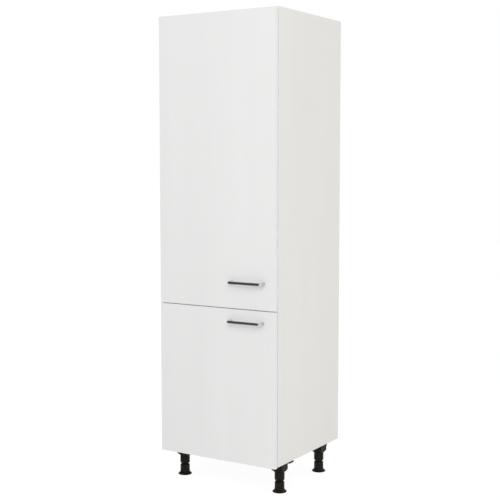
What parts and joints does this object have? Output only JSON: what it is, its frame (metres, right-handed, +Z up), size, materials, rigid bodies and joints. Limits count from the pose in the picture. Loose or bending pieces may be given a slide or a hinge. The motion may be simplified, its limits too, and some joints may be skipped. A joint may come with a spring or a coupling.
{
  "type": "fridge housing unit",
  "caption": "Tall white kitchen cabinet on adjustable feet that houses a built-in fridge above a small cupboard, with hinged doors and bar handles.",
  "frame": {"origin": "on the floor, at the middle of the whole object's width and depth, handles included", "axes": "+X to the right seen from the front, +Y to the back, +Z up; the doors face -Y"},
  "size_m": [0.6, 0.616, 2.073],
  "materials": {
    "white_board": "satin white melamine faced board",
    "white_door": "satin white melamine faced board",
    "white_edge_band": "satin",
    "white_hardboard": "lacquered white face, brown back",
    "handle_chrome": "polished",
    "black_plastic": "moulded",
    "nickel_plate": "nickel plated",
    "zinc_plate": "zinc plated",
    "zinc_casting": "raw zinc die casting",
    "beech": "bare",
    "soft_buffer": "clear soft plastic"
  },
  "bodies": {
    "carcass": {"side_panel_left": "white_board", "side_panel_right": "white_board", "bottom_panel": "white_board", "fixed_shelf": "white_board", "top_panel": "white_board", "middle_rail": "white_board", "top_rail": "white_board", "adjustable_shelf": "white_board", "back_board": "white_hardboard", "edge_bands": "white_edge_band", "shelf_pins": "nickel_plate", "cam_locks": "zinc_casting", "cam_bolts": "zinc_plate", "dowels": "beech", "wall_brackets": "zinc_plate", "wall_bracket_screws": "zinc_plate", "foot_screws": "zinc_plate", "hinge_arms": "nickel_plate", "hinge_arm_pins": "nickel_plate", "hinge_mounting_plates": "nickel_plate", "hinge_plate_screws": "nickel_plate", "hinge_arm_screws": "nickel_plate", "foot_socket_front_left": "black_plastic", "foot_socket_front_right": "black_plastic", "foot_socket_back_left": "black_plastic", "foot_socket_back_right": "black_plastic"},
    "upper_door": {"upper_door": "white_door", "upper_handle": "handle_chrome", "upper_handle_screws": "zinc_plate", "upper_door_buffers": "soft_buffer", "upper_hinge_cups": "nickel_plate", "upper_hinge_cup_screws": "nickel_plate", "upper_hinge_cup_pins": "nickel_plate"},
    "upper_outer_links": {"upper_outer_links": "nickel_plate"},
    "upper_inner_links": {"upper_inner_links": "nickel_plate"},
    "lower_door": {"lower_door": "white_door", "lower_handle": "handle_chrome", "lower_handle_screws": "zinc_plate", "lower_door_buffers": "soft_buffer", "lower_hinge_cups": "nickel_plate", "lower_hinge_cup_screws": "nickel_plate", "lower_hinge_cup_pins": "nickel_plate"},
    "lower_outer_links": {"lower_outer_links": "nickel_plate"},
    "lower_inner_links": {"lower_inner_links": "nickel_plate"},
    "foot_front_left": {"foot_front_left": "black_plastic"},
    "foot_front_right": {"foot_front_right": "black_plastic"},
    "foot_back_left": {"foot_back_left": "black_plastic"},
    "foot_back_right": {"foot_back_right": "black_plastic"}
  },
  "joints": [
    {"name": "upper_outer_link_swing", "type": "hinge", "parent": "carcass", "child": "upper_outer_links", "pos_m": [-0.2663, -0.249, 1.439], "axis": [0, 0, 1], "range_deg": [0, 75.1]},
    {"name": "upper_door_swing", "type": "hinge", "parent": "upper_outer_links", "child": "upper_door", "pos_m": [-0.2834, -0.2589, 1.439], "axis": [0, 0, -1], "range_deg": [0, 170]},
    {"name": "upper_inner_link_swing", "type": "hinge", "parent": "carcass", "child": "upper_inner_links", "pos_m": [-0.2556, -0.2258, 1.439], "axis": [0, 0, 1], "range_deg": [0, 43.2]},
    {"name": "lower_outer_link_swing", "type": "hinge", "parent": "carcass", "child": "lower_outer_links", "pos_m": [-0.2663, -0.249, 0.47], "axis": [0, 0, 1], "range_deg": [0, 75.1]},
    {"name": "lower_door_swing", "type": "hinge", "parent": "lower_outer_links", "child": "lower_door", "pos_m": [-0.2834, -0.2589, 0.47], "axis": [0, 0, -1], "range_deg": [0, 170]},
    {"name": "lower_inner_link_swing", "type": "hinge", "parent": "carcass", "child": "lower_inner_links", "pos_m": [-0.2556, -0.2258, 0.47], "axis": [0, 0, 1], "range_deg": [0, 43.2]},
    {"name": "foot_front_left_travel", "type": "slide", "parent": "carcass", "child": "foot_front_left", "axis": [0, 0, -1], "range_m": [-0.005, 0.03]},
    {"name": "foot_front_right_travel", "type": "slide", "parent": "carcass", "child": "foot_front_right", "axis": [0, 0, -1], "range_m": [-0.005, 0.03]},
    {"name": "foot_back_left_travel", "type": "slide", "parent": "carcass", "child": "foot_back_left", "axis": [0, 0, -1], "range_m": [-0.005, 0.03]},
    {"name": "foot_back_right_travel", "type": "slide", "parent": "carcass", "child": "foot_back_right", "axis": [0, 0, -1], "range_m": [-0.005, 0.03]}
  ],
  "couplings": [
    {"joint": "upper_outer_link_swing", "follows": "upper_door_swing", "ratio": 0.44142},
    {"joint": "upper_inner_link_swing", "follows": "upper_door_swing", "ratio": 0.25403},
    {"joint": "lower_outer_link_swing", "follows": "lower_door_swing", "ratio": 0.44142},
    {"joint": "lower_inner_link_swing", "follows": "lower_door_swing", "ratio": 0.25403}
  ]
}
